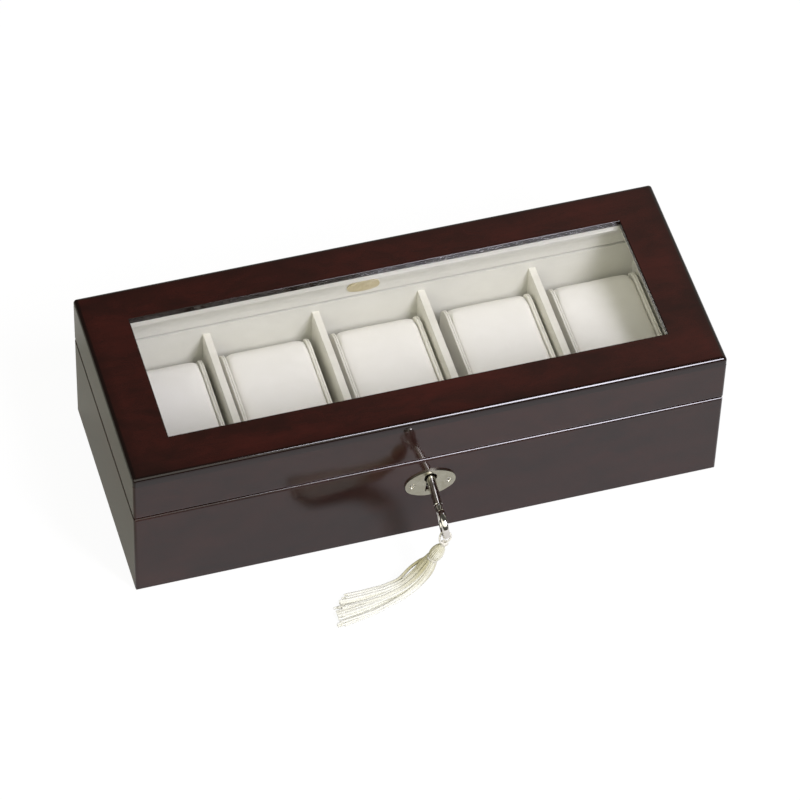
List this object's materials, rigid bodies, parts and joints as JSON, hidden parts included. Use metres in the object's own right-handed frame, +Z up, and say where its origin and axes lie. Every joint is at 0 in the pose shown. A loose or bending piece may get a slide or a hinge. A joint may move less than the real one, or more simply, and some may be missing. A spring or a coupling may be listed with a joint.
{
  "type": "watch display box",
  "caption": "Lacquered wooden watch display box with a glass window in its hinged lid, suede-lined compartments with cuff pillows, and a front lock with a tasselled key.",
  "frame": {"origin": "middle of the felt's underside, on the surface that the box stands on", "axes": "+X to the right along the front, +Y from the front to the hinged back, +Z up"},
  "size_m": [0.32, 0.1905, 0.091],
  "materials": {
    "lacquered_wood": "dark mahogany veneer under clear gloss lacquer",
    "plain_wood": "bare fibreboard under the lining and the felt",
    "felt": "dark pressed felt",
    "suede_lining": "pale fine suede cloth glued to thin board",
    "suede_divider": "pale fine suede cloth glued to thin board",
    "pillow_suede": "soft pale velvety cover over foam",
    "glass": "clear float glass",
    "nickel": "nickel plate with fine brushing",
    "screw_steel": "plated steel screws",
    "lock_steel": "plain pressed sheet steel",
    "lock_brass": "turned and stamped brass",
    "key_nickel": "cast key with nickel plate",
    "badge_brass": "bare brushed brass plaque",
    "tassel_cord": "ivory twisted cord",
    "tassel_silk": "ivory silky strands"
  },
  "bodies": {
    "base": {"base_front_board": "lacquered_wood", "base_back_board": "lacquered_wood", "base_left_board": "lacquered_wood", "base_right_board": "lacquered_wood", "base_panel": "plain_wood", "base_felt": "felt", "floor_lining": "suede_lining", "base_front_lining": "suede_lining", "base_back_lining": "suede_lining", "base_left_lining": "suede_lining", "base_right_lining": "suede_lining", "divider_1": "suede_divider", "divider_2": "suede_divider", "divider_3": "suede_divider", "divider_4": "suede_divider", "lock_plate": "nickel", "lock_plate_screws": "nickel", "lock_case": "lock_steel", "lock_cover": "lock_steel", "lock_screws": "screw_steel", "hinge_base_leaves": "nickel", "hinge_base_screws": "screw_steel", "hinge_pins": "nickel"},
    "lid": {"lid_front_board": "lacquered_wood", "lid_back_board": "lacquered_wood", "lid_left_board": "lacquered_wood", "lid_right_board": "lacquered_wood", "lid_frame": "lacquered_wood", "glass_pane": "glass", "glass_strip_front": "suede_divider", "glass_strip_back": "suede_divider", "glass_strip_left": "suede_divider", "glass_strip_right": "suede_divider", "lid_front_lining": "suede_lining", "lid_back_lining": "suede_lining", "lid_left_lining": "suede_lining", "lid_right_lining": "suede_lining", "badge": "badge_brass", "strike_plate": "lock_steel", "strike_screws": "screw_steel", "hinge_lid_leaves": "nickel", "hinge_lid_screws": "screw_steel"},
    "lock_drum": {"lock_drum": "lock_brass"},
    "lock_bolt": {"lock_bolt": "lock_brass"},
    "key": {"key": "key_nickel"},
    "tassel": {"tassel_cord": "tassel_cord", "tassel_head": "tassel_silk", "tassel_skirt": "tassel_silk"},
    "pillow_1": {"pillow_1": "pillow_suede", "pillow_ends_1": "pillow_suede"},
    "pillow_2": {"pillow_2": "pillow_suede", "pillow_ends_2": "pillow_suede"},
    "pillow_3": {"pillow_3": "pillow_suede", "pillow_ends_3": "pillow_suede"},
    "pillow_4": {"pillow_4": "pillow_suede", "pillow_ends_4": "pillow_suede"},
    "pillow_5": {"pillow_5": "pillow_suede", "pillow_ends_5": "pillow_suede"}
  },
  "joints": [
    {"name": "lid_hinge", "type": "hinge", "parent": "base", "child": "lid", "pos_m": [0, 0.0673, 0.0595], "axis": [-1, 0, 0], "range_deg": [0, 95]},
    {"name": "key_turn", "type": "hinge", "parent": "base", "child": "lock_drum", "pos_m": [-0.0008, -0.06, 0.0448], "axis": [0, 1, 0], "range_deg": [0, 90]},
    {"name": "bolt_slide", "type": "slide", "parent": "base", "child": "lock_bolt", "axis": [1, 0, 0], "range_m": [0, 0.00701]},
    {"name": "key_pull", "type": "slide", "parent": "lock_drum", "child": "key", "axis": [0, -1, 0], "range_m": [0, 0.025]},
    {"name": "tassel_hang", "type": "hinge", "parent": "key", "child": "tassel", "pos_m": [-0.0037, -0.0999, 0.0373], "axis": [0, 1, 0], "range_deg": [-90, 0]},
    {"name": "pillow_1_lift", "type": "slide", "parent": "base", "child": "pillow_1", "axis": [0, 0, 1], "range_m": [0, 0.034]},
    {"name": "pillow_2_lift", "type": "slide", "parent": "base", "child": "pillow_2", "axis": [0, 0, 1], "range_m": [0, 0.034]},
    {"name": "pillow_3_lift", "type": "slide", "parent": "base", "child": "pillow_3", "axis": [0, 0, 1], "range_m": [0, 0.034]},
    {"name": "pillow_4_lift", "type": "slide", "parent": "base", "child": "pillow_4", "axis": [0, 0, 1], "range_m": [0, 0.034]},
    {"name": "pillow_5_lift", "type": "slide", "parent": "base", "child": "pillow_5", "axis": [0, 0, 1], "range_m": [0, 0.034]}
  ],
  "couplings": [
    {"joint": "bolt_slide", "follows": "key_turn", "m_per_rad": 0.004456},
    {"joint": "tassel_hang", "follows": "key_turn", "ratio": -1}
  ]
}
